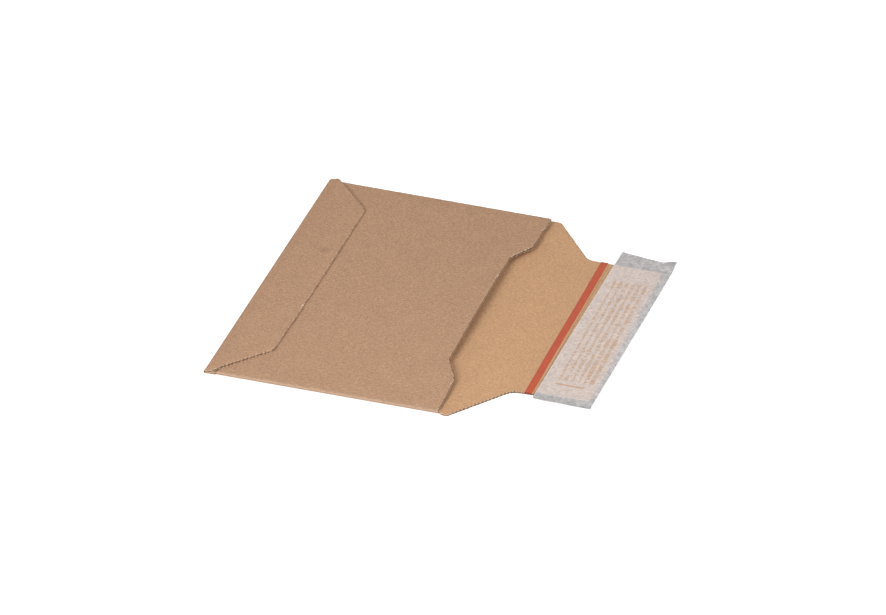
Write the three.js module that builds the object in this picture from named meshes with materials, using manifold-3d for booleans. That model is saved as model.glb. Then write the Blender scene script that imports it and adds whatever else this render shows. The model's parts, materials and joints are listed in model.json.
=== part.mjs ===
import * as THREE from "three";
import { mergeVertices } from "three/addons/utils/BufferGeometryUtils.js";
import Module from "manifold-3d";

// A corrugated mailing envelope, empty, lying on its back with its closing flap laid open. Millimetres.
// X runs from the bottom fold to the end of the closing flap, Y runs along the flutes, and Z is up.
// The origin is the middle of the back panel's underside.
// Lengths on the closing flap are measured from the closing crease, lengths on the panels from their own edges.

// The board: two paper liners with a fluted paper between them.
const board = 1.5;
const paper = 0.25;
const flutePitch = 3.5;
const fluteWide = 2.6;
const fluteNarrow = 0.8;
const fluteRise = 0.8;
const fluteReach = 8;

// The pack: back panel, front panel, and the air and glue between the layers.
const packWidth = 250;
const packDepth = 162;
const foldAir = 0.2;
const glueFilm = 0.1;
const filmClearance = 0.05;
const panelSetback = 0.4;
const panelSkew = 2.3;
const pocketArch = 3.8;

// The mouth: two tabs at the sides and a recess between them.
const mouthSetback = 5.5;
const tabLength = 36;
const recessSlant = 23.2;
const recessDepth = 10.2;
const tabRounding = 1.5;

// The flaps that close the bottom and the far side.
const bottomFlapDepth = 36.7;
const bottomFlapShoulder = 6.2;
const bottomFlapInset = 33.5;
const bottomFoldRun = 9;
const bottomGlueMargin = 4;
const sideFlapDepth = 20;
const sideFlapTaper = 12;
const sideFlapEndMargin = 9;
const sideGlueMargin = 3;

// The closing flap.
const flapLength = 82;
const shoulderLength = 31.2;
const shoulderInset = 40.25;
const flapTaper = 2.8;
const creaseCornerRounding = 3;
const shoulderRounding = 5;
const endRounding = 3;
const creaseGap = 0.3;

// The tear strip, the score beside it, the adhesive band and its release liner.
const tearStripStart = 40.1;
const tearStripWidth = 4.4;
const tearStripThickness = 0.12;
const scoreOffset = 1.8;
const scoreWidth = 0.8;
const scoreDepth = 0.12;
const linerOffset = 3.5;
const linerThickness = 0.25;
const linerEndOverhang = 4.3;
const linerNearOverhang = 6.45;
const linerFarOverhang = 19;
const linerSkew = 1.96;
const linerDroop = 1.1;
const adhesiveThickness = 0.2;
const adhesiveMargin = 4;

// How finely curved faces are divided.
const foldSteps = 6;
const archStepsAlong = 9;
const archStepsAcross = 14;

// Places that follow from the sizes above.
const halfWidth = packWidth / 2;
const bottomX = -packDepth / 2;
const creaseX = packDepth / 2;
const mouthX = creaseX - mouthSetback;
const recessX = mouthX - recessDepth;
const flapEdgeX = bottomX + bottomFlapDepth;
const filmGap = glueFilm + 2 * filmClearance;
const nearTop = 2 * board + foldAir;
const sideFlapTop = 2 * board + foldAir;
const farTop = sideFlapTop + filmGap + board;
const bottomFlapTop = farTop + filmGap + board;
const panelStartX = bottomX + bottomFoldRun;
const seamY = halfWidth - sideFlapDepth;
const clearOfAll = 2 * board;
const overAll = bottomFlapTop + pocketArch + clearOfAll;

const kraft = { color: 0xb7936f, roughness: 0.9, metalness: 0 };
const kraftInside = { color: 0xc8a07a, roughness: 0.9, metalness: 0 };
const tearRed = { color: 0xc15a42, roughness: 0.6, metalness: 0 };
const linerWhite = { color: 0xdccfc8, roughness: 0.5, metalness: 0 };
const glueClear = { color: 0xd9cfae, roughness: 0.35, metalness: 0 };

const wasm = await Module();
wasm.setup();

function mix(from, to, share) {
  return from + (to - from) * share;
}

// Turns a closed geometry into a solid, with its faces pointing outward.
function toSolid(geometry) {
  geometry.deleteAttribute("normal");
  geometry.deleteAttribute("uv");
  const merged = mergeVertices(geometry, 1e-4);
  const place = merged.attributes.position;
  const triangles = Uint32Array.from(merged.index.array);
  const a = new THREE.Vector3();
  const b = new THREE.Vector3();
  const c = new THREE.Vector3();
  let volume = 0;
  for (let k = 0; k < triangles.length; k += 3) {
    a.fromBufferAttribute(place, triangles[k]);
    b.fromBufferAttribute(place, triangles[k + 1]);
    c.fromBufferAttribute(place, triangles[k + 2]);
    volume += a.dot(b.cross(c));
  }
  if (volume < 0) {
    for (let k = 0; k < triangles.length; k += 3) {
      [triangles[k], triangles[k + 1]] = [triangles[k + 1], triangles[k]];
    }
  }
  const vertProperties = Float32Array.from(place.array);
  return new wasm.Manifold(new wasm.Mesh({ numProp: 3, vertProperties, triVerts: triangles }));
}

function toMesh(name, solid, finish) {
  const result = solid.getMesh();
  const geometry = new THREE.BufferGeometry();
  geometry.setAttribute("position", new THREE.BufferAttribute(result.vertProperties, result.numProp));
  geometry.setIndex(new THREE.BufferAttribute(result.triVerts, 1));
  const faceted = geometry.toNonIndexed();
  faceted.computeVertexNormals();
  const mesh = new THREE.Mesh(faceted, new THREE.MeshStandardMaterial(finish));
  mesh.name = name;
  return mesh;
}

// Bends a block of cells into a sheet: place(i, j, side) is the corner i along, j across, on side 0 or 1.
function bentSheet(cellsAlong, cellsAcross, place) {
  const block = new THREE.BoxGeometry(cellsAlong, cellsAcross, 1, cellsAlong, cellsAcross, 1);
  block.translate(cellsAlong / 2, cellsAcross / 2, 0.5);
  const corners = block.attributes.position;
  for (let k = 0; k < corners.count; k += 1) {
    const i = Math.round(corners.getX(k));
    const j = Math.round(corners.getY(k));
    const side = Math.round(corners.getZ(k));
    corners.setXYZ(k, ...place(i, j, side));
  }
  return toSolid(block);
}

// A plate or cutter with the given outline in X and Y, from one height to another.
function plate(outline, bottom, top) {
  const geometry = new THREE.ExtrudeGeometry(outline, { depth: top - bottom, bevelEnabled: false, curveSegments: 4 });
  geometry.translate(0, 0, bottom);
  return toSolid(geometry);
}

function polygon(points) {
  return new THREE.Shape(points.map(([x, y]) => new THREE.Vector2(x, y)));
}

// An outline whose corners, each given as x, y and rounding, are rounded off.
function roundedOutline(corners) {
  const shape = new THREE.Shape();
  corners.forEach(([x, y, rounding], k) => {
    const here = new THREE.Vector2(x, y);
    const [lastX, lastY] = corners[(k + corners.length - 1) % corners.length];
    const [nextX, nextY] = corners[(k + 1) % corners.length];
    const start = new THREE.Vector2(lastX, lastY).sub(here).setLength(rounding).add(here);
    const end = new THREE.Vector2(nextX, nextY).sub(here).setLength(rounding).add(here);
    if (k === 0) {
      shape.moveTo(start.x, start.y);
    } else {
      shape.lineTo(start.x, start.y);
    }
    shape.quadraticCurveTo(here.x, here.y, end.x, end.y);
  });
  shape.closePath();
  return shape;
}

// The front panel's top face: it climbs from the near fold to the side seam, where a third layer lies below it,
// and arches over the empty pocket between the bottom flap and the mouth.
function layerTop(y) {
  return mix(nearTop, farTop, (y + halfWidth) / packWidth);
}

function frontTop(x, y) {
  const along = Math.max(0, (x - flapEdgeX) / (mouthX - flapEdgeX));
  const across = Math.min(1, (y + halfWidth) / (seamY + halfWidth));
  return layerTop(y) + pocketArch * Math.sin((along * Math.PI) / 2) * Math.max(0, Math.sin(across * Math.PI));
}

function frontUnderside(x, y) {
  return frontTop(x, y) - board;
}

function bottomFlapUnderside(x, y) {
  return layerTop(y) + filmGap;
}

function onTable() {
  return 0;
}

// One open flute: a trapezoid along Y from yFrom to yTo, its wide side under the top liner or over the bottom one.
function fluteVoid(x, yFrom, yTo, underTop, underside) {
  const wideZ = underTop ? board - paper : paper;
  const narrowZ = underTop ? wideZ - fluteRise : wideZ + fluteRise;
  const section = polygon([
    [-fluteWide / 2, wideZ],
    [fluteWide / 2, wideZ],
    [fluteNarrow / 2, narrowZ],
    [-fluteNarrow / 2, narrowZ],
  ]);
  const geometry = new THREE.ExtrudeGeometry(section, { depth: yTo - yFrom, bevelEnabled: false });
  geometry.rotateX(Math.PI / 2);
  geometry.translate(x, yTo, 0);
  const corners = geometry.attributes.position;
  for (let k = 0; k < corners.count; k += 1) {
    const lift = underside(corners.getX(k), corners.getY(k));
    corners.setZ(k, corners.getZ(k) + lift);
  }
  return toSolid(geometry);
}

// Opens each flute that lies wholly between two places along X. span(x) gives the stretch along Y.
function openFlutes(solid, fromX, toX, span, underside) {
  let open = solid;
  const half = flutePitch / 2;
  const first = Math.ceil((fromX + fluteWide / 2 + paper) / half);
  const last = Math.floor((toX - fluteWide / 2 - paper) / half);
  for (let k = first; k <= last; k += 1) {
    const [yFrom, yTo] = span(k * half);
    open = open.subtract(fluteVoid(k * half, yFrom, yTo, k % 2 === 0, underside));
  }
  return open;
}

// The wrap is the sheet's middle: side flap, far fold, back panel, near fold and front panel, as one path in Y and Z.
// Each knot gives the outer and the inner face. The front panel's knots depend on X as well.
function foldKnots(centerY, centerZ, outerRadius, fromAngle, toAngle) {
  const knots = [];
  for (let k = 0; k <= foldSteps; k += 1) {
    const angle = mix(fromAngle, toAngle, k / foldSteps);
    const face = (radius) => [centerY + radius * Math.cos(angle), centerZ + radius * Math.sin(angle)];
    knots.push(() => [face(outerRadius), face(outerRadius - board)]);
  }
  return knots;
}

const sideFlapDip = ((farTop - nearTop) * sideFlapDepth) / packWidth;
const sideFlapEdge = () => [
  [seamY, sideFlapTop - sideFlapDip],
  [seamY, sideFlapTop - sideFlapDip - board],
];
const farRadius = sideFlapTop / 2;
const nearRadius = nearTop / 2;
const farFold = foldKnots(halfWidth - farRadius, farRadius, farRadius, Math.PI / 2, -Math.PI / 2);
const nearFold = foldKnots(nearRadius - halfWidth, nearRadius, nearRadius, -Math.PI / 2, (-3 * Math.PI) / 2);
const panelStartY = nearRadius - halfWidth;

// The front panel is glued a little askew, so that its far edge draws back towards the mouth.
function panelEndY(x) {
  return halfWidth - panelSetback - (panelSkew * (x - panelStartX)) / (mouthX - panelStartX);
}

function frontKnot(yAt) {
  return (x) => [
    [yAt(x), frontTop(x, yAt(x))],
    [yAt(x), frontUnderside(x, yAt(x))],
  ];
}

const frontPanel = [];
for (let k = 1; k <= archStepsAcross; k += 1) {
  frontPanel.push(frontKnot(() => mix(panelStartY, seamY, k / archStepsAcross)));
}
frontPanel.push(frontKnot(panelEndY));

const wrapPath = [sideFlapEdge, ...farFold, ...nearFold, ...frontPanel];

const wrapStations = [panelStartX];
for (let k = 0; k <= archStepsAlong; k += 1) {
  wrapStations.push(mix(flapEdgeX, mouthX, k / archStepsAlong));
}

function makeWrap() {
  return bentSheet(wrapPath.length - 1, wrapStations.length - 1, (i, j, side) => {
    const x = wrapStations[j];
    const [y, z] = wrapPath[i](x)[side];
    return [x, y, z];
  });
}

// The ends of the side flap taper, and stop short of the bottom fold and the mouth.
function cutSideFlapEnds(solid) {
  const beyond = halfWidth + clearOfAll;
  const inner = seamY - clearOfAll;
  const startX = panelStartX + sideFlapEndMargin;
  const endX = mouthX - sideFlapEndMargin;
  const below = board + foldAir / 4;
  const above = sideFlapTop + filmClearance;
  const slope = sideFlapTaper / sideFlapDepth;
  const reach = (beyond - inner) * slope;
  const bottomEnd = polygon([
    [startX, beyond],
    [startX + reach, inner],
    [panelStartX - clearOfAll, inner],
    [panelStartX - clearOfAll, beyond],
  ]);
  const mouthEnd = polygon([
    [endX, beyond],
    [endX - reach, inner],
    [mouthX + clearOfAll, inner],
    [mouthX + clearOfAll, beyond],
  ]);
  return solid.subtract(plate(bottomEnd, below, above)).subtract(plate(mouthEnd, below, above));
}

// The recess in the mouth's edge leaves a tab at each side.
const tabCornerY = halfWidth - tabLength;
const recessY = tabCornerY - recessSlant;

function cutRecess(solid) {
  const beyond = mouthX + clearOfAll;
  const outline = roundedOutline([
    [beyond, -tabCornerY, tabRounding],
    [mouthX, -tabCornerY, tabRounding],
    [recessX, -recessY, tabRounding],
    [recessX, recessY, tabRounding],
    [mouthX, tabCornerY, tabRounding],
    [beyond, tabCornerY, tabRounding],
  ]);
  return solid.subtract(plate(outline, board + foldAir, overAll));
}

// Between the front panel's edge and the closing crease lies a plain strip of the back panel.
function makeCreaseStrip() {
  const edgeY = halfWidth - panelSetback;
  const outline = polygon([
    [mouthX - foldAir, -edgeY],
    [creaseX - creaseGap / 2, -edgeY],
    [creaseX - creaseGap / 2, edgeY],
    [mouthX - foldAir, edgeY],
  ]);
  return openFlutes(plate(outline, 0, board), mouthX, creaseX, acrossAll, onTable);
}

function acrossAll() {
  return [-halfWidth - clearOfAll, halfWidth + clearOfAll];
}

// The bottom fold is pinched to the height of the front panel, and from it the bottom flap climbs onto that panel,
// where it is glued. Its ends run straight for a little way at the fold, and then slant in.
function makeBottomFlap() {
  const edgeY = halfWidth - panelSetback;
  const across = [-edgeY, edgeY];
  const path = [() => [[panelStartX + foldAir, 0], [panelStartX + foldAir, board]]];
  for (let k = 0; k <= foldSteps; k += 1) {
    const angle = mix(-Math.PI / 2, (-3 * Math.PI) / 2, k / foldSteps);
    path.push((y) => {
      const radius = layerTop(y) / 2;
      const face = (r) => [bottomX + radius + r * Math.cos(angle), radius + r * Math.sin(angle)];
      return [face(radius), face(radius - board)];
    });
  }
  for (const x of [panelStartX, flapEdgeX]) {
    path.push((y) => [[x, bottomFlapUnderside(x, y) + board], [x, bottomFlapUnderside(x, y)]]);
  }
  const folded = bentSheet(path.length - 1, 1, (i, j, side) => {
    const y = across[j];
    const [x, z] = path[i](y)[side];
    return [x, y, z];
  });
  const slantX = bottomX + bottomFlapShoulder;
  const slope = bottomFlapInset / (flapEdgeX - slantX);
  const flapEnd = (sign) => {
    const outline = polygon([
      [slantX - clearOfAll, sign * (halfWidth + clearOfAll * slope)],
      [flapEdgeX + clearOfAll, sign * (halfWidth - bottomFlapInset - clearOfAll * slope)],
      [flapEdgeX + clearOfAll, sign * (halfWidth + 2 * clearOfAll * slope)],
      [slantX - clearOfAll, sign * (halfWidth + 2 * clearOfAll * slope)],
    ]);
    return plate(outline, board + foldAir, overAll);
  };
  const trimmed = folded.subtract(flapEnd(-1)).subtract(flapEnd(1));
  return openFlutes(trimmed, panelStartX, flapEdgeX, acrossAll, bottomFlapUnderside);
}

// The flutes of the front panel open at its far cut edge and at the two slants of the recess.
function openFrontFlutes(solid) {
  const farEdge = (x) => [panelEndY(x) - fluteReach, halfWidth + clearOfAll];
  const slantY = (x) => recessY + (recessSlant * (x - recessX)) / recessDepth;
  const farSlant = (x) => [slantY(x) - clearOfAll, slantY(x) + fluteReach];
  const nearSlant = (x) => [-slantY(x) - fluteReach, clearOfAll - slantY(x)];
  const opened = openFlutes(solid, panelStartX, mouthX, farEdge, frontUnderside);
  const slanted = openFlutes(opened, recessX, mouthX, farSlant, frontUnderside);
  return openFlutes(slanted, recessX, mouthX, nearSlant, frontUnderside);
}

function makeBody() {
  const wrap = openFrontFlutes(cutRecess(cutSideFlapEnds(makeWrap())));
  return wrap.add(makeCreaseStrip()).add(makeBottomFlap());
}

// The closing flap, in line with the back panel beyond the crease.
const shoulderY = halfWidth - shoulderInset;
const flapEndY = shoulderY - flapTaper;
const flapEndX = creaseX + flapLength;
const linerStart = tearStripStart + tearStripWidth + linerOffset;

function flapHalfWidth(fromCrease) {
  return mix(shoulderY, flapEndY, (fromCrease - shoulderLength) / (flapLength - shoulderLength));
}

function makeClosingFlap() {
  const startX = creaseX + creaseGap / 2;
  const shoulderX = creaseX + shoulderLength;
  const outline = roundedOutline([
    [startX, -halfWidth, creaseCornerRounding],
    [shoulderX, -shoulderY, shoulderRounding],
    [flapEndX, -flapEndY, endRounding],
    [flapEndX, flapEndY, endRounding],
    [shoulderX, shoulderY, shoulderRounding],
    [startX, halfWidth, creaseCornerRounding],
  ]);
  const opened = openFlutes(plate(outline, 0, board), startX, flapEndX, acrossAll, onTable);
  const scoreX = creaseX + tearStripStart + tearStripWidth + scoreOffset;
  const score = polygon([
    [scoreX - scoreWidth / 2, -halfWidth],
    [scoreX + scoreWidth / 2, -halfWidth],
    [scoreX + scoreWidth / 2, halfWidth],
    [scoreX - scoreWidth / 2, halfWidth],
  ]);
  return opened.subtract(plate(score, board - scoreDepth, board + scoreDepth));
}

// A thin strip laid on the closing flap, cut to the flap's tapering sides less a margin.
function flapStrip(fromCrease, toCrease, margin, thickness) {
  const outline = polygon([
    [creaseX + fromCrease, -flapHalfWidth(fromCrease) + margin],
    [creaseX + toCrease, -flapHalfWidth(toCrease) + margin],
    [creaseX + toCrease, flapHalfWidth(toCrease) - margin],
    [creaseX + fromCrease, flapHalfWidth(fromCrease) - margin],
  ]);
  return plate(outline, board, board + thickness);
}

function makeTearStrip() {
  return flapStrip(tearStripStart, tearStripStart + tearStripWidth, 0, tearStripThickness);
}

function makeAdhesive() {
  return flapStrip(linerStart + adhesiveMargin, flapLength - adhesiveMargin, adhesiveMargin, adhesiveThickness);
}

// The release liner lies a little askew and hangs over the flap's end and both its sides, where it droops.
function makeReleaseLiner() {
  const nearY = -flapEndY - linerNearOverhang;
  const farY = flapEndY + linerFarOverhang;
  const sideY = flapHalfWidth(linerStart);
  const across = [nearY, (nearY - sideY) / 2, -sideY, 0, sideY];
  const droopSteps = 4;
  for (let k = 1; k <= droopSteps; k += 1) {
    across.push(mix(sideY, farY, k / droopSteps));
  }
  const along = [linerStart, flapLength + linerEndOverhang];
  const underside = board + adhesiveThickness;
  return bentSheet(along.length - 1, across.length - 1, (i, j, side) => {
    const y = across[j];
    const past = Math.max(0, Math.abs(y) - sideY) / linerFarOverhang;
    const x = creaseX + along[i] + (linerSkew * y) / 100;
    return [x, y, underside - linerDroop * past * past + side * linerThickness];
  });
}

// The glue films that hold the bottom flap to the front panel and the front panel to the side flap.
function makeBottomGlue() {
  const inset = bottomFlapInset + bottomGlueMargin;
  const along = [panelStartX + bottomGlueMargin, flapEdgeX - bottomGlueMargin];
  const across = [-halfWidth + inset, halfWidth - inset];
  return bentSheet(1, 1, (i, j, side) => {
    const y = across[j];
    return [along[i], y, layerTop(y) + filmClearance + side * glueFilm];
  });
}

function makeSideGlue() {
  const end = sideFlapEndMargin + sideFlapTaper + sideGlueMargin;
  const along = [panelStartX + end, mouthX - end];
  const across = [seamY + sideGlueMargin, halfWidth - farRadius - sideGlueMargin];
  return bentSheet(1, 1, (i, j, side) => {
    const y = across[j];
    return [along[i], y, layerTop(y) - board - filmClearance - (1 - side) * glueFilm];
  });
}

const envelope = new THREE.Group();
envelope.add(toMesh("cardboard_body", makeBody(), kraft));
envelope.add(toMesh("closing_flap", makeClosingFlap(), kraftInside));
envelope.add(toMesh("tear_strip", makeTearStrip(), tearRed));
envelope.add(toMesh("adhesive_band", makeAdhesive(), glueClear));
envelope.add(toMesh("release_liner", makeReleaseLiner(), linerWhite));
envelope.add(toMesh("bottom_seam_glue", makeBottomGlue(), glueClear));
envelope.add(toMesh("side_seam_glue", makeSideGlue(), glueClear));

export default envelope;
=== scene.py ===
import json
import math
import random

import bpy
import numpy as np
from mathutils import Matrix, Vector, kdtree


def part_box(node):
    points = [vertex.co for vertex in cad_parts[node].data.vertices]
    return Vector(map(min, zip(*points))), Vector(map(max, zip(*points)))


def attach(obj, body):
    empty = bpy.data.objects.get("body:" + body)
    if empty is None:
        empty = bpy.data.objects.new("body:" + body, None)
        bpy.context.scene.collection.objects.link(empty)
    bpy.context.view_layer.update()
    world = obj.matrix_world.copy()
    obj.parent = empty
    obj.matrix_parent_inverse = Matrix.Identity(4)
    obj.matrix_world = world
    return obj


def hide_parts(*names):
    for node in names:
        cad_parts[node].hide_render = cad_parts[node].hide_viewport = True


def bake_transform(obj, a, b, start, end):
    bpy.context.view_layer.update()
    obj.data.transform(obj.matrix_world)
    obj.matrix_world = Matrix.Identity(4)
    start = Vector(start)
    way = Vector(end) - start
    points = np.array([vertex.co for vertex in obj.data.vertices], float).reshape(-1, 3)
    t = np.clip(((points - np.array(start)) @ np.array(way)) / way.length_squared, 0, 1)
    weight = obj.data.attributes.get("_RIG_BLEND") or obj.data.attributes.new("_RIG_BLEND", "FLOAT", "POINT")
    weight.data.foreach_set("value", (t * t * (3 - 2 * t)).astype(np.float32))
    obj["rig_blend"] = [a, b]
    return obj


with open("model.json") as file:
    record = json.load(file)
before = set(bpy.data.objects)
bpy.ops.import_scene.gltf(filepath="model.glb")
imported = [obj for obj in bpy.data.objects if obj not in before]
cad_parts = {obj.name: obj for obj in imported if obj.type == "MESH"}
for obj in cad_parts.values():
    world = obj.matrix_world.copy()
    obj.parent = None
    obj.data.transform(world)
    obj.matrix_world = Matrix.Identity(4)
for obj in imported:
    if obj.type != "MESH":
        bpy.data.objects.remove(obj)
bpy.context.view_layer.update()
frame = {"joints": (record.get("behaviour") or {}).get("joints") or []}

# THE BOARD'S OUTLINE. The envelope is one die-cut sheet of fine-flute corrugated board, here laid flat as it
# leaves the cutting press: p runs across the flutes (X on the folded pack), q along them. Each fold has its
# own length of board, and small notches free the folds from their neighbours.
board = 0.0015
fold_air = 0.0002
film_gap = 0.0002
body_low, body_high = (Vector(corner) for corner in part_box("cardboard_body"))
flap_high = Vector(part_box("closing_flap")[1])
crease_x = frame["joints"][0]["pos_m"][0]
half_width = body_high.y
bottom_x = body_low.x
flap_end_x = flap_high.x

mouth_x = crease_x - 0.005
recess_x = mouth_x - 0.0109
far_tab_y, far_recess_y = 0.0815, 0.0642
near_tab_y, near_recess_y = -0.0875, -0.0668
tab_lean = 0.0009
panel_start_x = bottom_x + 0.009
bottom_flap_x = bottom_x + 0.0367
bottom_flap_lean = 0.0011
bottom_slant_x = bottom_x + 0.0062
flap_far_y = half_width - 0.0327
flap_near_y = half_width - 0.0352
flap_nick_y = -0.0316
side_edge_y = half_width - 0.0004
panel_skew = 0.0023
squeezed_out = 0.0019
seam_y = half_width - 0.02
side_start_x = panel_start_x + 0.0072
side_end_x = mouth_x - 0.0108
side_taper = 0.012
shoulder_start_x = crease_x + 0.0006
shoulder_x = crease_x + 0.0312
shoulder_y = half_width - 0.04025
flap_end_y = shoulder_y - 0.0028

near_top = 2 * board + fold_air
far_top = near_top + film_gap + board
long_radius = near_top / 2
fold_y = half_width - long_radius
long_fold = math.pi * (long_radius - board / 2)
front_start_q = -fold_y - long_fold
bottom_fold = 0.0172
flap_start_p = panel_start_x - bottom_fold
squeezed_p = panel_start_x - bottom_fold * 0.42
notch = 0.0016


def layer_top(y):
    """Height of the front panel where it lies flat: two layers at the near fold, three at the far seam."""
    return near_top + (far_top - near_top) * (y + half_width) / (2 * half_width)


def front_q(y):
    """The flat place along q of a point that lies at y on the folded front panel."""
    return front_start_q - (y + fold_y)


def panel_end_y(x):
    """The front panel's far edge, which runs a little askew."""
    return side_edge_y - panel_skew * (x - panel_start_x) / (mouth_x - panel_start_x)


def bottom_path(y):
    """The bottom fold at y: its radius, its run in from the panel, and the length of its bend."""
    radius = layer_top(y) / 2
    run = panel_start_x - bottom_x - radius
    return radius, run, math.pi * (radius - board / 2)


def bottom_p(x, y):
    """The flat place along p of a point at x on the upper stretch of the bottom fold or on its flap."""
    if x > panel_start_x:
        return flap_start_p - (x - panel_start_x)
    radius, run, bend = bottom_path(y)
    done = run + bend + (x - bottom_x - radius)
    return panel_start_x - bottom_fold * done / (2 * run + bend)


side_flap_q = fold_y + long_fold + fold_y - seam_y
slant_p = bottom_p(bottom_slant_x, 0)
flap_p = bottom_p(bottom_flap_x, 0)
flap_near_p = bottom_p(bottom_flap_x - bottom_flap_lean, 0)

# The corners of the blank, in order around it: place along p and q, and how far from it the rounding starts.
blank_corners = [
    (flap_end_x, -flap_end_y, 0.004),
    (flap_end_x, flap_end_y, 0.006),
    (shoulder_x, shoulder_y, 0.0035),
    (shoulder_start_x, half_width, 0.0026),
    (side_end_x + notch, side_edge_y, 0),
    (side_end_x, fold_y, 0),
    (side_end_x - side_taper, side_flap_q, 0.002),
    (side_start_x + side_taper, side_flap_q, 0.002),
    (side_start_x, fold_y, 0),
    (side_start_x - notch, side_edge_y, 0),
    (squeezed_p, side_edge_y + squeezed_out * 0.85, 0),
    (slant_p, side_edge_y + squeezed_out, 0),
    (flap_p, flap_far_y, 0.0014),
    (flap_p, flap_nick_y, 0),
    (flap_near_p, -flap_near_y, 0.0022),
    (slant_p, -side_edge_y, 0),
    (panel_start_x - notch, -side_edge_y, 0),
    (panel_start_x, -fold_y, 0),
    (panel_start_x, front_q(panel_end_y(panel_start_x)), 0),
    (mouth_x, front_q(panel_end_y(mouth_x)), 0.0012),
    (mouth_x - tab_lean, front_q(far_tab_y), 0.0025),
    (recess_x, front_q(far_recess_y), 0.002),
    (recess_x, front_q(near_recess_y), 0.0016),
    (mouth_x - tab_lean * 0.6, front_q(near_tab_y), 0.004),
    (mouth_x, -fold_y, 0),
    (mouth_x + notch, -side_edge_y, 0),
    (shoulder_start_x, -half_width, 0.0018),
    (shoulder_x, -shoulder_y, 0.005),
]

# The knife left rough spots on the bottom flap's edge and at the mouth: place along p and q, reach and depth.
rough_spots = [
    (flap_p, flap_nick_y, 0.0042, 0.0008),
    (mouth_x, front_q(0.103), 0.004, 0.0007),
    (mouth_x - 0.004, front_q(0.075), 0.012, 0.0006),
    (recess_x, front_q(0.066), 0.0025, 0.0004),
    (recess_x, front_q(0.038), 0.004, 0.0005),
    (mouth_x - 0.002, front_q(-0.088), 0.012, 0.0003),
]


def blank_outline():
    """The blank's outline as points, with rounded corners and a cut that wavers from flute to flute."""
    uneven = 0.00008
    step = 0.00175
    corner_parts = 6
    chance = random.Random(7)
    rounded = []
    for k, (p, q, rounding) in enumerate(blank_corners):
        here = Vector((p, q))
        back = Vector(blank_corners[k - 1][:2]) - here
        on = Vector(blank_corners[(k + 1) % len(blank_corners)][:2]) - here
        start = here + back.normalized() * rounding
        end = here + on.normalized() * rounding
        parts = corner_parts if rounding else 0
        for part in range(parts + 1):
            t = part / max(1, parts)
            rounded.append((1 - t) ** 2 * start + 2 * t * (1 - t) * here + t * t * end)
    points = []
    for k, point in enumerate(rounded):
        after = rounded[(k + 1) % len(rounded)]
        count = max(1, round((after - point).length / step))
        for part in range(count):
            place = point.lerp(after, part / count)
            depth = uneven
            for p, q, reach, rough in rough_spots:
                if (place - Vector((p, q))).length < reach:
                    depth = rough
            shift = chance.uniform(-depth, 0) if depth > uneven else chance.uniform(-depth, depth)
            side = (after - point).normalized() if count > 1 else Vector((0, 0))
            points.append(place + Vector((side.y, -side.x)) * shift)
    return points


outline = blank_outline()
outline_places = kdtree.KDTree(len(outline))
for number, point in enumerate(outline):
    outline_places.insert(point.to_3d(), number)
outline_places.balance()

pressed_shut = -0.4
pressed_reach = 0.003
pressed_past_crease = 0.004


def crosses_flutes(place):
    """1 where the nearest cut runs across the flutes and opens their mouths, 0 where it runs along them, and
    less where the board bends into the near fold and its end is pressed shut."""
    near_end = abs(place.y + side_edge_y) < pressed_reach
    at_bottom_fold = flap_start_p < place.x < panel_start_x
    at_crease = mouth_x < place.x < crease_x + pressed_past_crease
    if near_end and (at_bottom_fold or at_crease):
        return pressed_shut
    number = outline_places.find((place.x, place.y, 0))[1]
    along = outline[(number + 1) % len(outline)] - outline[number - 1]
    return abs(along.x) / along.length


# How far the knife and the glue press pushed the outer and the inner face in at each stretch of the cut edge.
# The bottom flap's inner face is below 0, because it was pressed out, down onto the front panel.
side_crush = (0.00028, 0.00024)
mouth_crush = (0.00022, 0.00016)
closing_flap_crush = (0.0003, 0.0001)
bottom_fold_crush = (0.0001, 0.0001)
far_slant_crush = (0.00012, 0.0001)
bottom_flap_crush = (0.00016, -0.00012)
bottom_flap_tip_crush = 0.00055
mouth_start_p = recess_x - 0.002
far_slant_q = flap_far_y + 0.002


def crushed(p, q):
    """The crush of the outer and the inner face at the cut edge near p and q, wavering along the cut."""
    wavering = 1 + 0.18 * math.sin(1500 * p + 400 * q) + 0.15 * math.sin(700 * q - 900 * p)
    if p < flap_start_p:
        from_fold = (flap_start_p - p) / (flap_start_p - flap_p)
        outer, inner = bottom_flap_crush[0] + bottom_flap_tip_crush * from_fold, bottom_flap_crush[1]
        if q > far_slant_q:
            outer, inner = far_slant_crush
    elif p < panel_start_x - bottom_fold / 3:
        outer, inner = bottom_fold_crush
    elif p > crease_x:
        outer, inner = closing_flap_crush
    elif q < front_start_q and p > mouth_start_p:
        outer, inner = mouth_crush
    else:
        outer, inner = side_crush
    return outer * wavering, inner * wavering


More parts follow.
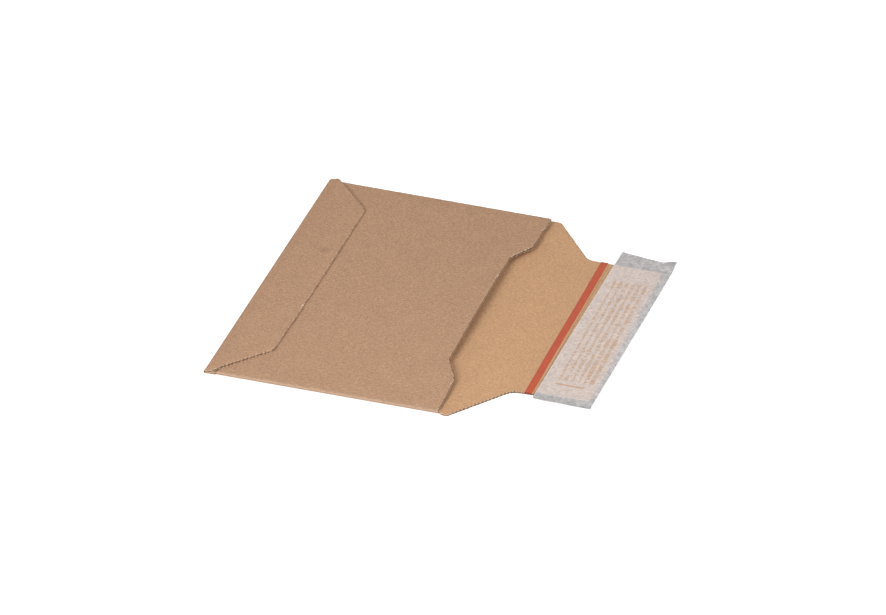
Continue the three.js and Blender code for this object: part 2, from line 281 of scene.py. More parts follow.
def cut_layer(name, p_lines, q_lines):
    """One paper layer of the blank, flat, with two narrow rims for the crushed edge, divided along the lines.
    Its rim attribute runs from 1 at the cut to 0 where the board has its full thickness, torn is high at the
    rough spots, and flute_mouths is high where the cut opens the flutes."""
    rim_steps = [(0.00035, 0.6), (0.00075, 0.4)]
    mark = 0.001
    torn_spread = 1.3
    bpy.ops.object.select_all(action="DESELECT")
    bpy.ops.mesh.primitive_circle_add(vertices=len(outline), radius=half_width, fill_type="NGON")
    layer = bpy.context.object
    layer.name = name
    for vertex, point in zip(layer.data.vertices, outline):
        vertex.co = (point.x, point.y, mark)
    bpy.ops.object.mode_set(mode="EDIT")
    bpy.ops.mesh.select_all(action="SELECT")
    bpy.ops.mesh.normals_make_consistent(inside=False)
    for width, share in rim_steps:
        bpy.ops.mesh.inset(thickness=width, use_even_offset=True)
        bpy.ops.transform.translate(value=(0, 0, -mark * share))
    for axis, lines in ((Vector((1, 0, 0)), p_lines), (Vector((0, 1, 0)), q_lines)):
        for place in lines:
            bpy.ops.mesh.select_all(action="SELECT")
            bpy.ops.mesh.bisect(plane_co=axis * place, plane_no=axis)
    bpy.ops.object.mode_set(mode="OBJECT")
    if layer.data.polygons[0].normal.z < 0:
        layer.data.flip_normals()
    attributes = layer.data.attributes
    for attribute_name in ("rim", "torn", "flute_mouths"):
        attributes.new(attribute_name, "FLOAT", "POINT")
    for vertex, cut, tear, mouth in zip(layer.data.vertices, attributes["rim"].data,
                                        attributes["torn"].data, attributes["flute_mouths"].data):
        cut.value = vertex.co.z / mark
        if cut.value > 0:
            tear.value = max(0, *(torn_spread - math.hypot(vertex.co.x - p, vertex.co.y - q) / reach
                                  for p, q, reach, _ in rough_spots))
            mouth.value = crosses_flutes(vertex.co)
    return layer


def spaced(start, end, count):
    return [start + (end - start) * k / count for k in range(count + 1)]


# THE FOLDS. The blank is folded along its long near side and its far side, the front panel comes down on the
# side flap and is glued, and last the bottom flap is folded up over the front panel. Empty, the pocket stays
# a little open: the front panel arches towards the mouth, and the near fold stands a little off the table.
pocket_arch = 0.0032
near_rise = 0.0009
near_rise_run = 0.007
fold_lean = 2.3
fold_slack = notch / 10


def front_top(x, y):
    """Height of the arched front panel's outer face."""
    along = np.clip((x - bottom_flap_x) / (mouth_x - bottom_flap_x), 0, 1)
    across = np.clip((y + half_width) / (seam_y + half_width), 0, 1)
    return layer_top(y) + pocket_arch * np.sin(along * math.pi / 2) * np.sin(across * math.pi)


def turn(s, radius, n):
    """Out and up from a fold's start, after the length s of board, for a point at depth n in the board."""
    angle = np.clip(s / (radius - board / 2), 0, math.pi)
    return (radius - n) * np.sin(angle), radius - (radius - n) * np.cos(angle)


def eased(t):
    return t * t * (3 - 2 * t)


def fold_points(flat):
    """Carries points of the flat blank, rows of p, q and depth n from the outer face, to the folded pack."""
    p, q, n = flat.T
    x, y, z = p.copy(), q.copy(), n.copy()

    # The near long fold: it stands a little off the table with its nose high, and the front panel follows it.
    rising = eased(np.clip(1 - (q + fold_y) / near_rise_run, 0, 1)
                   * np.clip((crease_x - p) / (crease_x - mouth_x), 0, 1))
    y = y - near_rise / 2 * rising
    z = z + near_rise * rising
    near = (q < -fold_y) & (p > panel_start_x - fold_slack) & (p < mouth_x + fold_slack)
    s = -fold_y - q
    radius = long_radius - near_rise / 2
    angle = np.clip(s / long_fold, 0, 1) * math.pi
    leaning = math.pi * (angle / math.pi) ** fold_lean
    beyond = np.maximum(0, s - long_fold)
    past_fold = beyond > 0
    level = near_rise / 2 * np.clip(1 - beyond / near_rise_run, 0, 1)
    folded_y = np.where(past_fold, beyond - fold_y - level,
                        -fold_y - near_rise / 2 - (radius - n) * np.sin(leaning))
    y = np.where(near, folded_y, y)
    folded_z = np.where(past_fold, front_top(x, y) - n, near_rise + radius - (radius - n) * np.cos(angle))
    z = np.where(near, folded_z, z)

    # The far long fold, and the side flap folded in over the back panel.
    far = (q > fold_y) & (p > side_start_x - fold_slack) & (p < side_end_x + fold_slack)
    s = q - fold_y
    out, up = turn(s, long_radius, n)
    beyond = np.maximum(0, s - long_fold)
    y = np.where(far, fold_y + out - beyond, y)
    sink = (far_top - near_top) * beyond / (2 * half_width)
    z = np.where(far, up - sink, z)

    # The bottom fold: out from the back panel, round, and back up onto the front panel with the bottom flap.
    low = p < panel_start_x
    radius, run, bend = bottom_path(y)
    s = (panel_start_x - p) / bottom_fold * (2 * run + bend)
    ground = z - n
    out, up = turn(s - run, radius, n)
    inward = np.minimum(s, run)
    climbed = np.clip((s - run - bend) / run, 0, 1)
    climb = (film_gap + board) * eased(climbed)
    onward = np.where(p < flap_start_p, flap_start_p - p, climbed * run - run)
    risen = s > run + bend
    folded_x = np.where(risen, panel_start_x + onward, panel_start_x - inward - out)
    x = np.where(low, folded_x, x)
    round_fold = np.clip((s - run) / bend, 0, 1)
    folded_z = np.where(s > run, up + np.where(risen, climb, 0), n) + ground * (1 - round_fold)
    z = np.where(low, folded_z, z)
    return np.stack([x, y, z], axis=1)


def fold_layer(layer):
    """Keeps the flat places as a UV map, so that grain and flutes follow the sheet, and folds the sheet."""
    mesh = layer.data
    count = len(mesh.vertices)
    flat = np.empty(count * 3)
    mesh.vertices.foreach_get("co", flat)
    flat = flat.reshape(count, 3)
    corners = np.empty(len(mesh.loops), int)
    mesh.loops.foreach_get("vertex_index", corners)
    uv = mesh.uv_layers.get("flat") or mesh.uv_layers.new(name="flat")
    uv.data.foreach_set("uv", flat[corners, :2].ravel())
    mesh.vertices.foreach_set("co", fold_points(flat).ravel())
    mesh.update()


smooth_angle = math.radians(40)


def apply_modifier(piece, name, kind, **settings):
    """Adds a modifier to the active piece with its settings, and applies it."""
    modifier = piece.modifiers.new(name, kind)
    for setting, value in settings.items():
        setattr(modifier, setting, value)
    bpy.ops.object.modifier_apply(modifier=modifier.name)


def finish_layer(layer, thickness, offset):
    """Gives the flat paper its thickness, folds it, and shades it smooth across folds but not at its rims."""
    bpy.ops.object.select_all(action="DESELECT")
    bpy.context.view_layer.objects.active = layer
    layer.select_set(True)
    apply_modifier(layer, "paper", "SOLIDIFY", thickness=thickness, offset=offset)
    fold_layer(layer)
    bpy.ops.object.shade_smooth_by_angle(angle=smooth_angle)


# THE OUTER PAPER. The board's outside is a greyish brown kraft liner of recycled fibre, matt, with fine
# fibres along the sheet and the faint ridges of the flutes behind it. It is one sheet over every panel, fold
# and flap, torn back a little at the mouth, and pale along the near fold: partly the crease's real wear,
# partly a painted highlight where the fold's curve catches the light.
facing_paper = 0.0002
flute_pitch = 0.0035
flute_ridge = 0.000012
torn_back = 0.0005
outside_colour = (0.47, 0.285, 0.178)
# Pale torn fibres at the cut, also used as a painted highlight where the edge catches the light.
frayed_and_highlight_colour = (0.82, 0.65, 0.5)
# Painted shade of the flutes' open mouths, on the cut faces and rims.
flute_shade_colour = (0.17, 0.1, 0.062)
rubbed_and_highlight_colour = (0.64, 0.56, 0.47)
smudge_colour = (0.2, 0.12, 0.075)
smudge_p, smudge_q = bottom_p(-0.0538, 0), 0.0353

fold_lines_p = spaced(panel_start_x, flap_start_p, 22)
crease_lines_p = spaced(crease_x - 0.0045, crease_x + 0.0045, 12)
arch_lines_p = spaced(bottom_flap_x, mouth_x, 16)
paper_lines_p = fold_lines_p + crease_lines_p + arch_lines_p
near_lines_q = spaced(-fold_y + near_rise_run, -fold_y, 5)[:-1] + spaced(-fold_y, front_start_q, 10)
far_lines_q = spaced(fold_y, fold_y + long_fold, 10)
arch_lines_q = [front_q(y) for y in spaced(-fold_y, seam_y, 26)]
paper_lines_q = sorted(near_lines_q + far_lines_q + arch_lines_q)


def linked(tree, kind, inputs=None, **settings):
    """A shader node with its settings, and its inputs set to values or joined to other nodes' outputs."""
    made = tree.nodes.new(kind)
    for name, value in settings.items():
        setattr(made, name, value)
    for name, value in (inputs or {}).items():
        if isinstance(value, bpy.types.NodeSocket):
            tree.links.new(value, made.inputs[name])
        else:
            made.inputs[name].default_value = value
    return made


def flat_place(tree):
    """The place on the flat blank, along p and q."""
    return linked(tree, "ShaderNodeUVMap", uv_map="flat").outputs["UV"]


def part_along(tree, place, axis):
    return linked(tree, "ShaderNodeSeparateXYZ", {"Vector": place}).outputs[axis]


def attribute(tree, name):
    return linked(tree, "ShaderNodeAttribute", attribute_name=name).outputs["Fac"]


def noise(tree, place, scale, detail=3, roughness=0.55, stretch=(1, 1, 1)):
    """Noise whose blobs are about scale metres across, drawn out along each axis by the given factors."""
    size = [1 / (scale * factor) for factor in stretch]
    spread = linked(tree, "ShaderNodeMapping", {"Vector": place, "Scale": size})
    made = linked(tree, "ShaderNodeTexNoise", {"Vector": spread.outputs[0], "Scale": 1.0, "Detail": detail,
                                               "Roughness": roughness})
    return made.outputs["Fac"]


def ranged(tree, value, low, high, to_low, to_high):
    made = linked(tree, "ShaderNodeMapRange", {"Value": value, "From Min": low, "From Max": high,
                                               "To Min": to_low, "To Max": to_high})
    return made.outputs["Result"]


def varied(tree, blobs, spread):
    """Noise as a factor from 1 - spread to 1 + spread."""
    return ranged(tree, blobs, 0.3, 0.7, 1 - spread, 1 + spread)


def maths(tree, operation, *values):
    return linked(tree, "ShaderNodeMath", dict(enumerate(values)), operation=operation).outputs[0]


def product(tree, first, *others):
    for other in others:
        first = maths(tree, "MULTIPLY", first, other)
    return first


def distance(tree, value, middle):
    return maths(tree, "ABSOLUTE", maths(tree, "SUBTRACT", value, middle))


def shaded(tree, colour, amount):
    """The colour made lighter or darker by a factor around 1."""
    made = linked(tree, "ShaderNodeVectorMath", {0: colour, "Scale": amount}, operation="SCALE")
    return made.outputs["Vector"]


def mixed(tree, amount, a, b):
    made = linked(tree, "ShaderNodeMix", {"Factor": amount}, data_type="RGBA")
    for socket, value in ((made.inputs[6], a), (made.inputs[7], b)):
        if isinstance(value, bpy.types.NodeSocket):
            tree.links.new(value, socket)
        else:
            socket.default_value = (*value, 1)
    return made.outputs[2]


def new_material(name, roughness, gloss=0.12):
    material = bpy.data.materials.new(name)
    material.use_nodes = True
    tree = material.node_tree
    shader = tree.nodes["Principled BSDF"]
    shader.inputs["Roughness"].default_value = roughness
    shader.inputs["Specular IOR Level"].default_value = gloss
    return material, tree, shader


def paint(tree, shader, colour):
    tree.links.new(colour, shader.inputs["Base Color"])


def raise_surface(tree, shader, height):
    bump = linked(tree, "ShaderNodeBump", {"Height": height, "Strength": 1.0, "Distance": 1.0})
    tree.links.new(bump.outputs["Normal"], shader.inputs["Normal"])


def kraft_colour(tree, place, colour, depth=1.0):
    """Kraft paper: clouds of denser pulp, a fine grain, long fibres, and scattered dark and pale flecks."""
    clouds = varied(tree, noise(tree, place, 0.018, 3), 0.03 * depth)
    patches = varied(tree, noise(tree, place, 0.004, 4, stretch=(1.6, 1, 1)), 0.05 * depth)
    grain = varied(tree, noise(tree, place, 0.0011, 4, 0.65, (1.4, 1, 1)), 0.28 * depth)
    fibres = varied(tree, noise(tree, place, 0.0005, 2, stretch=(7, 1, 1)), 0.13 * depth)
    toned = shaded(tree, colour, product(tree, clouds, patches, grain, fibres))
    dark = ranged(tree, noise(tree, place, 0.0007, 2, stretch=(3, 1, 1)), 0.69, 0.76, 0, 0.45)
    pale = ranged(tree, noise(tree, place, 0.0008, 2, stretch=(1, 2.6, 1)), 0.7, 0.78, 0, 0.4)
    dark_fleck = [part * factor for part, factor in zip(colour, (0.5, 0.46, 0.44))]
    pale_fleck = [min(1, part * factor) for part, factor in zip(colour, (1.35, 1.4, 1.5))]
    return mixed(tree, pale, mixed(tree, dark, toned, dark_fleck), pale_fleck)


def frayed(tree, place, colour):
    """The cut rim: pale torn fibres, broken up as the knife left them, which also serve as a painted
    highlight where the cut edge catches the light, and the cut face itself with the flutes' open mouths along
    it painted dark as their shade, on both sides of the medium and so at half the flutes' pitch."""
    cut = attribute(tree, "rim")
    near_cut = ranged(tree, cut, 0.02, 0.35, 0, 1)
    tufts = ranged(tree, noise(tree, place, 0.0018, 3), 0.48, 0.56, 0, 1)
    torn = ranged(tree, attribute(tree, "torn"), 0, 0.8, 0.3, 1)
    phase = product(tree, part_along(tree, place, "X"), 4 * math.pi / flute_pitch)
    half_flutes = maths(tree, "SINE", phase)
    mouths = attribute(tree, "flute_mouths")
    open_share = ranged(tree, mouths, -0.1, 0.4, 0.15, 1)
    wave_share = ranged(tree, mouths, 0.1, 0.4, 0, 1.3)
    speckles = ranged(tree, noise(tree, place, 0.0012, 3), 0.3, 0.7, -0.5, 0.8)
    speckled = maths(tree, "ADD", product(tree, half_flutes, wave_share), speckles)
    # Dark flute mouths on the rim and the cut face are painted shade of the open flutes.
    flute_mouth_shade = product(tree, near_cut, ranged(tree, speckled, 0.1, 0.9, 0, 0.8))
    rim = mixed(tree, flute_mouth_shade, colour, flute_shade_colour)
    # Pale tufts along the rim: partly torn fibres, partly a painted highlight where the edge catches the
    # light.
    rim = mixed(tree, product(tree, near_cut, tufts, torn), rim, frayed_and_highlight_colour)
    face_shade = product(tree, ranged(tree, speckled, -0.1, 0.7, 0, 0.9), open_share)
    face = mixed(tree, face_shade, frayed_and_highlight_colour, flute_shade_colour)
    return mixed(tree, ranged(tree, cut, 0.96, 0.995, 0, 1), rim, face)


def kraft_relief(tree, place, shader, ridge):
    """The paper's own roughness, and the washboard of the flutes showing through it."""
    phase = product(tree, part_along(tree, place, "X"), 2 * math.pi / flute_pitch)
    wave = product(tree, maths(tree, "COSINE", phase), ridge)
    grit = product(tree, noise(tree, place, 0.0006, 4, 0.7), 0.00004)
    dents = product(tree, noise(tree, place, 0.012, 3), 0.00012)
    raise_surface(tree, shader, maths(tree, "ADD", maths(tree, "ADD", wave, grit), dents))


def spot(tree, place, p, q, reach_p, reach_q):
    """A soft spot on the sheet, 1 at its middle and 0 past its reach."""
    shift = linked(tree, "ShaderNodeMapping", {"Vector": place, "Location": (-p / reach_p, -q / reach_q, 0),
                                               "Scale": (1 / reach_p, 1 / reach_q, 1)})
    length = linked(tree, "ShaderNodeVectorMath", {0: shift.outputs[0]}, operation="LENGTH").outputs["Value"]
    return ranged(tree, length, 0.2, 1.0, 1, 0)


outer_paper = cut_layer("kraft_outer_paper", sorted(paper_lines_p), paper_lines_q)
for vertex, cut in zip(outer_paper.data.vertices, outer_paper.data.attributes["rim"].data):
    p, q = vertex.co.x, vertex.co.y
    vertex.co.z = cut.value * crushed(p, q)[0]
    if q < front_start_q and p > mouth_start_p:
        vertex.co.x -= cut.value * torn_back * (0.7 + 0.3 * math.sin(q * 900) * math.sin(q * 173))
finish_layer(outer_paper, facing_paper, 1)

outer_look, tree, shader = new_material("kraft_outside", 0.88)
place = flat_place(tree)
colour = kraft_colour(tree, place, outside_colour)
smudge = product(tree, spot(tree, place, smudge_p, smudge_q, 0.006, 0.004), 0.28)
colour = mixed(tree, smudge, colour, smudge_colour)
# A pale band along the near fold: partly rubbed wear of the crease, partly a painted highlight of its curve.
from_fold = distance(tree, part_along(tree, place, "Y"), -(fold_y + 0.65 * long_fold))
rubbed_and_highlight = product(tree, ranged(tree, from_fold, 0.0006, 0.0021, 0.2, 0),
                 varied(tree, noise(tree, place, 0.003), 0.4))
colour = mixed(tree, rubbed_and_highlight, colour, rubbed_and_highlight_colour)
paint(tree, shader, frayed(tree, place, colour))
kraft_relief(tree, place, shader, flute_ridge)
outer_paper.data.materials.append(outer_look)

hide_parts("cardboard_body")

# THE INNER PAPER. The inside liner is a warmer, lighter tan kraft. It shows on the opened closing flap, on
# the strip of the back panel at the mouth, and inside the pocket. A score is pressed into it beside the tear
# strip, its groove's shade painted as a dark line along it, and the closing flap has two faint wrinkles near
# the crease, painted only as streaks of shade.
inside_colour = (0.577, 0.341, 0.19)
groove_shade_colour = (0.2, 0.11, 0.06)
score_x = crease_x + 0.0463
score_reach = 0.0004
score_depth = 0.00012
wrinkles = ((0.0935, -0.0895, 0.006), (0.0985, 0.0725, 0.007))
wrinkle_width = 0.0009

score_lines_p = [score_x + score_reach * k / 2 for k in range(-2, 3)]
inner_paper = cut_layer("kraft_inner_paper", sorted(paper_lines_p + score_lines_p), paper_lines_q)
for vertex, cut in zip(inner_paper.data.vertices, inner_paper.data.attributes["rim"].data):
    groove = max(0, 1 - abs(vertex.co.x - score_x) / score_reach)
    vertex.co.z = board - cut.value * crushed(vertex.co.x, vertex.co.y)[1] - score_depth * groove
finish_layer(inner_paper, facing_paper, -1)

inner_look, tree, shader = new_material("kraft_inside", 0.86)
place = flat_place(tree)
colour = kraft_colour(tree, place, inside_colour, 0.8)
from_score = distance(tree, part_along(tree, place, "X"), score_x)
# The score's dark line is painted shade of its groove; the wrinkles, which have no shape of their own, are
# painted as streaks of shade.
score_shade = ranged(tree, from_score, 0.0002, 0.00045, 0.3, 0)
colour = mixed(tree, score_shade, colour, groove_shade_colour)
for wrinkle_p, wrinkle_q, wrinkle_length in wrinkles:
    wrinkle_shade = product(tree, spot(tree, place, wrinkle_p, wrinkle_q, wrinkle_length, wrinkle_width), 0.16)
    colour = mixed(tree, wrinkle_shade, colour, groove_shade_colour)
paint(tree, shader, frayed(tree, place, colour))
kraft_relief(tree, place, shader, flute_ridge)
inner_paper.data.materials.append(inner_look)

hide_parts("closing_flap")

# THE FLUTED PAPER. Between the two liners runs the medium: one sheet of thin brown paper pressed into waves
# and glued to the liners along every crest. Its mouths show along each cut that crosses the flutes.
medium_paper = 0.00022
flute_height = board / 2 - facing_paper - medium_paper / 2
least_height = 0.00004
medium_colour = (0.27, 0.165, 0.1)
flute_part = flute_pitch / 8

first_line, last_line = math.ceil(flap_p / flute_part), math.floor(flap_end_x / flute_part)
flute_lines_p = [k * flute_part for k in range(first_line, last_line + 1)]
medium = cut_layer("fluted_paper", flute_lines_p,
                   sorted(near_lines_q[::2] + far_lines_q[::2] + arch_lines_q[::2]))
for vertex, cut in zip(medium.data.vertices, medium.data.attributes["rim"].data):
    outer, inner = (cut.value * depth for depth in crushed(vertex.co.x, vertex.co.y))
    wave = math.cos(2 * math.pi * vertex.co.x / flute_pitch)
    vertex.co.z = (board + outer - inner) / 2 + max(least_height, flute_height - (outer + inner) / 2) * wave
finish_layer(medium, medium_paper, 0)

medium_look, tree, shader = new_material("kraft_medium", 0.9)
paint(tree, shader, kraft_colour(tree, flat_place(tree), medium_colour))
medium.data.materials.append(medium_look)

for layer in (outer_paper, inner_paper, medium):
    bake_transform(layer, "pack", "flap", start=(crease_x - 0.0045, 0, 0), end=(crease_x + 0.0045, 0, 0))
    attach(layer, "pack")

# THE GLUE. Two glued seams hold the pack: one under the bottom flap, and one between the side flap and the
# front panel. They are thin films of dried pale glue, rolled on before the folds were closed.
glue_colour = (0.62, 0.53, 0.36)


def object_place(tree):
    return linked(tree, "ShaderNodeTexCoord").outputs["Object"]


def dress(node, look):
    """Gives a piece of the solid model this look in place of its own."""
    materials = bpy.data.objects[node].data.materials
    materials.clear()
    materials.append(look)


glue_look, tree, shader = new_material("dried_glue", 0.55)
place = object_place(tree)
drag = varied(tree, noise(tree, place, 0.0015, 3, stretch=(1, 5, 1)), 0.15)
paint(tree, shader, shaded(tree, glue_colour, drag))
raise_surface(tree, shader, product(tree, noise(tree, place, 0.001, 2), 0.00006))
for seam in ("bottom_seam_glue", "side_seam_glue"):
    dress(seam, glue_look)

# THE TEAR STRIP. A narrow red film tape is laid on the inside of the closing flap, along the flutes, and cut
# off with the board. Pulling it opens the sealed pack. It lies tight on the board, so that the flutes show
# through a little.
strip_low, strip_high = (Vector(corner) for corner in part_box("tear_strip"))
strip_colour = (0.535, 0.1, 0.048)
strip_end_shade_colour = (0.17, 0.03, 0.02)
strip_step = 0.004
strip_steps = 20
strip_skew = 0.006
strip_width = 0.0049
strip_waver = 0.00008
strip_end_drop = 0.0001
strip_end_run = 0.0004


def side_cut_y(x):
    """Half the closing flap's width at x, past its shoulders."""
    return shoulder_y + (flap_end_y - shoulder_y) * (x - shoulder_x) / (flap_end_x - shoulder_x)


bpy.ops.object.select_all(action="DESELECT")
bpy.ops.mesh.primitive_plane_add(size=1)
strip = bpy.context.object
strip.name = "red_tear_tape"
bpy.ops.object.mode_set(mode="EDIT")
bpy.ops.transform.resize(value=(strip_width, 2 * shoulder_y, 1))
bpy.ops.transform.translate(value=((strip_low.x + strip_high.x) / 2, 0, board))
for side in (-1, 1):
    bpy.ops.mesh.select_all(action="SELECT")
    bpy.ops.mesh.bisect(plane_co=(strip_low.x, side * side_cut_y(strip_low.x), 0),
                        plane_no=(shoulder_y - flap_end_y, side * (flap_end_x - shoulder_x), 0),
                        clear_outer=True)
for k in range(-strip_steps, strip_steps + 1):
    bpy.ops.mesh.select_all(action="SELECT")
    bpy.ops.mesh.bisect(plane_co=(0, k * strip_step, 0), plane_no=(0, 1, 0))
bpy.ops.object.mode_set(mode="OBJECT")
for vertex in strip.data.vertices:
    vertex.co.x += strip_skew * vertex.co.y + strip_waver * math.sin(vertex.co.y * 61)
    vertex.co.z -= strip_end_drop if abs(vertex.co.y) > side_cut_y(vertex.co.x) - strip_end_run else 0
apply_modifier(strip, "film", "SOLIDIFY", thickness=strip_high.z - board, offset=1)
apply_modifier(strip, "edge", "BEVEL", width=0.00003, segments=2)
bpy.ops.object.shade_smooth_by_angle(angle=smooth_angle)

strip_look, tree, shader = new_material("red_film_tape", 0.5, gloss=0.25)
place = object_place(tree)
clouds = varied(tree, noise(tree, place, 0.002, 3, stretch=(1, 3, 1)), 0.07)
grain = varied(tree, noise(tree, place, 0.0004, 3), 0.07)
colour = shaded(tree, strip_colour, product(tree, clouds, grain))
# The tape turns near black at its near cut end: painted shade of the board's open flutes at the cut.
ragged_end = ranged(tree, noise(tree, place, 0.0008, 2), 0.3, 0.7, -0.0004, 0.0004)
from_end = maths(tree, "ADD", part_along(tree, place, "Y"), ragged_end)
from_end = maths(tree, "ADD", from_end, side_cut_y(strip_low.x))
colour = mixed(tree, ranged(tree, from_end, 0.0003, 0.0009, 0.75, 0), colour, strip_end_shade_colour)
paint(tree, shader, colour)
kraft_relief(tree, place, shader, 0.000008)
strip.data.materials.append(strip_look)
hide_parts("tear_strip")
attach(strip, "flap")

# THE ADHESIVE BAND. Sticky adhesive is coated on the flap beyond the score, clear and slightly yellow. The
# release liner covers it until the pack is closed.
adhesive_colour = (0.6, 0.45, 0.27)

adhesive_look, tree, shader = new_material("clear_adhesive", 0.2)
shader.inputs["Coat Weight"].default_value = 0.6
place = object_place(tree)
streaks = varied(tree, noise(tree, place, 0.002, 3, stretch=(1, 8, 1)), 0.1)
paint(tree, shader, shaded(tree, adhesive_colour, streaks))
kraft_relief(tree, place, shader, 0.00001)
dress("adhesive_band", adhesive_look)

# THE RELEASE LINER. Thin silicone-coated paper covers the adhesive until it is peeled off. It was laid on a
# little askew and is longer and wider than the adhesive: its free edges ripple and sink to the table, and its
# far outer corner curls up.
liner_low, liner_high = (Vector(corner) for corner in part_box("release_liner"))
stuck_low, stuck_high = (Vector(corner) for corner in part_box("adhesive_band"))
liner_skew = 0.0196
liner_sheet = 0.0001
liner_air = 0.00003
liner_start_x = liner_low.x - liner_skew * liner_low.y
liner_end_x = liner_high.x - liner_skew * liner_high.y
liner_droop = 0.0011
droop_run = 0.005
corner_curl = 0.0022
curl_run_x, curl_run_y = 0.009, 0.013
far_cut_bow = 0.0038
near_overhang = 0.0011
ragged_depth = 0.00006
ragged_run = 0.0005
wave_height = 0.0003
liner_over_board = (0.665, 0.56, 0.507)
liner_overhang_shaded = (0.535, 0.513, 0.508)
lifted_shade_colour = (0.31, 0.304, 0.301)
white_cut_colour = (0.86, 0.83, 0.81)

bpy.ops.object.select_all(action="DESELECT")
bpy.ops.mesh.primitive_grid_add(x_subdivisions=46, y_subdivisions=190, size=1)
liner = bpy.context.object
liner.name = "release_liner_paper"
bpy.ops.object.mode_set(mode="EDIT")
bpy.ops.transform.resize(value=(liner_end_x - liner_start_x, liner_high.y - liner_low.y, 1))
bpy.ops.transform.translate(value=((liner_start_x + liner_end_x) / 2, (liner_low.y + liner_high.y) / 2,
                                   board))
bpy.ops.object.mode_set(mode="OBJECT")
chance = random.Random(3)
ripples = [(chance.uniform(0, 6.28), chance.uniform(150, 420), chance.uniform(-260, 260)) for k in range(5)]
for vertex in liner.data.vertices:
    x, y = vertex.co.x, vertex.co.y
    from_edge = min(x - liner_start_x, liner_end_x - x, y - liner_low.y, liner_high.y - y)
    ragged = ragged_depth * math.sin(y * 900) * math.exp(-from_edge / ragged_run)
    loose = max(0, stuck_low.x - x, x - stuck_high.x, stuck_low.y - y, y - stuck_high.y)
    ripple = sum(math.sin(start + a * x + b * y) for start, a, b in ripples) / len(ripples)
    across = (x - liner_start_x) / (liner_end_x - liner_start_x)
    past_board = max(0, abs(y) - flap_end_y, x + liner_skew * y - flap_end_x) / droop_run
    droop = liner_droop * min(1, past_board) ** 1.3 * (0.35 + 0.65 * across)
    waves = min(wave_height, loose * 0.05) * (1 + ripple) * (1 - 0.85 * droop / liner_droop)
    to_corner = max(0, 1 - math.hypot((liner_end_x - x) / curl_run_x, (liner_high.y - y) / curl_run_y))
    curl = corner_curl * to_corner * (1.6 - 0.6 * to_corner)
    far_end = max(0, (y - flap_end_y) / (liner_high.y - flap_end_y))
    near_end = max(0, (-y - flap_end_y) / (-liner_low.y - flap_end_y))
    bow = far_cut_bow * far_end * (1 - (1 - across) ** 2)
    vertex.co.x = x + liner_skew * y + ragged
    vertex.co.y = y + ragged * 2 - bow - near_overhang * near_end
    vertex.co.z = liner_low.z + liner_droop + liner_air + waves - droop + curl
apply_modifier(liner, "paper", "SOLIDIFY", thickness=liner_sheet, offset=1)
bpy.ops.object.shade_smooth_by_angle(angle=smooth_angle)

liner_look, tree, shader = new_material("siliconed_paper", 0.5, gloss=0.35)
place = object_place(tree)
place_x, place_y = part_along(tree, place, "X"), part_along(tree, place, "Y")

# Past the board's edges the paper loses the warm tone of the board behind it, round the board's corners too.
# Over the board, that warm tone showing through the thin paper is painted in. Past it, the grey is the
# paper's pale tone with painted shade from the table beneath, lighter in painted patches where it touches the
# table, and the lifted far corner and the near overhang strip are painted darker still as their shade.
board_corner = 0.004
wander = ranged(tree, noise(tree, place, 0.002, 3), 0.3, 0.7, -0.0007, 0.0007)
past_squared = []
for reach, edge in ((place_x, flap_end_x), (maths(tree, "ABSOLUTE", place_y), flap_end_y)):
    past_edge = maths(tree, "SUBTRACT", maths(tree, "ADD", reach, wander), edge - board_corner)
    past_squared.append(maths(tree, "POWER", maths(tree, "MAXIMUM", past_edge, 0), 2))
past_corner = maths(tree, "SQRT", maths(tree, "ADD", *past_squared))
past = ranged(tree, past_corner, board_corner, board_corner + 0.0014, 0, 1)

# Painted light and shade of the paper past the board: lighter in patches where it touches the table, darker
# where it lifts at the far corner and along the near strip.
table_contact_light = ranged(tree, noise(tree, place, 0.0035, 4, 0.65), 0.36, 0.64, 0.8, 1.1)
lifted_shade = product(tree, spot(tree, place, liner_high.x - 0.001, liner_high.y - 0.004, 0.009, 0.008), 0.9)
near_shade = ranged(tree, place_y, -flap_end_y - 0.003, -flap_end_y, 0.45, 0)
overhang = mixed(tree, maths(tree, "MAXIMUM", lifted_shade, near_shade), shaded(tree, liner_overhang_shaded, table_contact_light),
                 lifted_shade_colour)
mottle = varied(tree, noise(tree, place, 0.0018, 4, 0.6, stretch=(1.3, 1, 1)), 0.15)
cloud = varied(tree, noise(tree, place, 0.007, 2), 0.05)
fibre = varied(tree, noise(tree, place, 0.0006, 3, stretch=(1, 4, 1)), 0.1)
colour = shaded(tree, mixed(tree, past, liner_over_board, overhang), product(tree, mottle, cloud, fibre))
from_cut = maths(tree, "SUBTRACT", place_x, product(tree, place_y, liner_skew))
white_cut = ranged(tree, maths(tree, "SUBTRACT", from_cut, liner_start_x), 0.0002, 0.0006, 0.45, 0)
colour = mixed(tree, white_cut, colour, white_cut_colour)

# Rows of faded ochre bars on the liner's underside show through the paper, with one bar across their near
# ends.
bar_colour = (0.55, 0.32, 0.17)
row_pitch = 0.0042
first_row_x = 0.1351
rows = 6
row_offset = 7.3
bars_start_y, bars_end_y = -0.064, 0.066
cross_bar_x, cross_bar_y = 0.1458, -0.0685
cross_bar_half = 0.0085
row_place = maths(tree, "DIVIDE", maths(tree, "SUBTRACT", place_x, first_row_x), row_pitch)
row_number = maths(tree, "FLOOR", row_place)
row_middle = distance(tree, maths(tree, "FRACT", row_place), 0.5)
row_shift = product(tree, row_number, row_offset)


def row_noise(length):
    """Noise along the rows with blots of about the given length, of its own in each row."""
    along = maths(tree, "DIVIDE", place_y, length)
    spread = linked(tree, "ShaderNodeCombineXYZ", {"X": row_shift, "Y": along})
    made = linked(tree, "ShaderNodeTexNoise", {"Vector": spread.outputs[0], "Scale": 1.0, "Detail": 2})
    return made.outputs["Fac"]


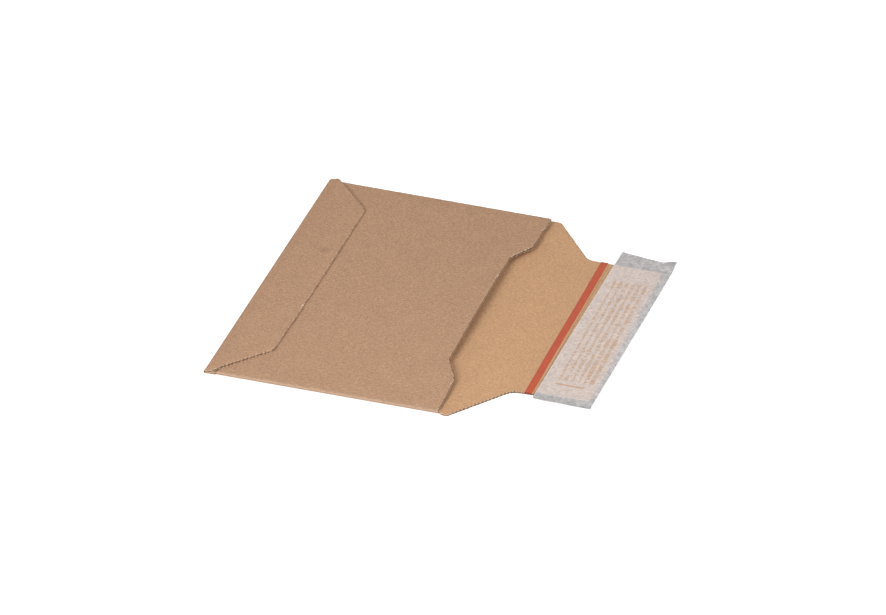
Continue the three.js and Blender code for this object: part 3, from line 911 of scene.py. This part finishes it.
bar_width = maths(tree, "ADD", ranged(tree, row_noise(0.009), 0.35, 0.65, 0.14, 0.36),
                  product(tree, row_number, 0.018))
bar = product(tree, maths(tree, "SUBTRACT", bar_width, row_middle), 8)
bar = linked(tree, "ShaderNodeClamp", {"Value": bar}).outputs[0]
dashes = ranged(tree, row_noise(0.0021), 0.38, 0.52, 0.1, 1)
faded = ranged(tree, noise(tree, place, 0.0011, 3, 0.6), 0.36, 0.62, 0.25, 1)
in_x = product(tree, maths(tree, "GREATER_THAN", row_place, 0), maths(tree, "LESS_THAN", row_place, rows))
in_y = product(tree, ranged(tree, place_y, bars_start_y, bars_start_y + 0.002, 0, 1),
               ranged(tree, place_y, bars_end_y - 0.004, bars_end_y, 1, 0))
ink = product(tree, bar, dashes, in_x, in_y, faded, 0.92)
in_cross_bar_y = ranged(tree, distance(tree, place_y, cross_bar_y), 0.0006, 0.0011, 0.95, 0)
from_cross_bar_x = distance(tree, place_x, cross_bar_x)
in_cross_bar_x = ranged(tree, from_cross_bar_x, cross_bar_half, cross_bar_half + 0.002, 1, 0)
cross_bar = product(tree, in_cross_bar_y, in_cross_bar_x, ranged(tree, faded, 0.25, 1, 0.6, 1))
colour = mixed(tree, maths(tree, "MAXIMUM", ink, cross_bar), colour, bar_colour)
paint(tree, shader, colour)
raise_surface(tree, shader, product(tree, noise(tree, place, 0.0012, 4), 0.00008))
liner.data.materials.append(liner_look)
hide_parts("release_liner")
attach(liner, "flap")

# THE ROOM. A white floor, light from all sides, a softbox at the front left and a weaker one at the right. A
# long lens looks from the near right.
floor_size = 6.0
floor_drop = 0.00002
floor_glow = 0.6
room_light = 0.54
lamp_target = Vector((0.04, 0, 0))

bpy.ops.object.select_all(action="DESELECT")
bpy.ops.mesh.primitive_plane_add(size=floor_size, location=(0, 0, -floor_drop))
floor = bpy.context.object
floor.name = "floor"
floor_look, tree, shader = new_material("white_floor", 0.9)
shader.inputs["Base Color"].default_value = (0.86, 0.86, 0.86, 1)
shader.inputs["Emission Color"].default_value = (1, 1, 1, 1)
seen_directly = linked(tree, "ShaderNodeLightPath").outputs["Is Camera Ray"]
tree.links.new(product(tree, seen_directly, floor_glow), shader.inputs["Emission Strength"])
floor.data.materials.append(floor_look)

world = bpy.data.worlds.new("studio")
bpy.context.scene.world = world
world.use_nodes = True
world.node_tree.nodes["Background"].inputs["Color"].default_value = (1, 1, 1, 1)
world.node_tree.nodes["Background"].inputs["Strength"].default_value = room_light

for name, place, size, power in (("front_softbox", (-0.5, -1.66, 1.0), 0.9, 25),
                                 ("side_softbox", (1.8, -0.9, 1.1), 1.2, 17)):
    bpy.ops.object.light_add(type="AREA", location=place)
    lamp = bpy.context.object
    lamp.name = name
    lamp.data.shape = "DISK"
    lamp.data.size = size
    lamp.data.energy = power
    lamp.rotation_euler = (lamp_target - lamp.location).to_track_quat("-Z", "Y").to_euler()

camera_azimuth = math.radians(17.53)
camera_height = math.radians(31.54)
camera_roll = math.radians(0.36)
camera_distance = 4.052
camera_target = Vector((crease_x - 0.04165, 0.0001, 0))
turned = (Matrix.Rotation(camera_azimuth, 4, "Z") @ Matrix.Rotation(math.pi / 2 - camera_height, 4, "X")
          @ Matrix.Rotation(camera_roll, 4, "Z"))
bpy.ops.object.camera_add()
camera = bpy.context.object
camera.name = "camera"
camera.matrix_world = Matrix.Translation(camera_target + turned.col[2].to_3d() * camera_distance) @ turned
camera.data.sensor_width = 36
camera.data.lens = 254
bpy.context.scene.camera = camera

bpy.context.scene.view_settings.view_transform = "Standard"
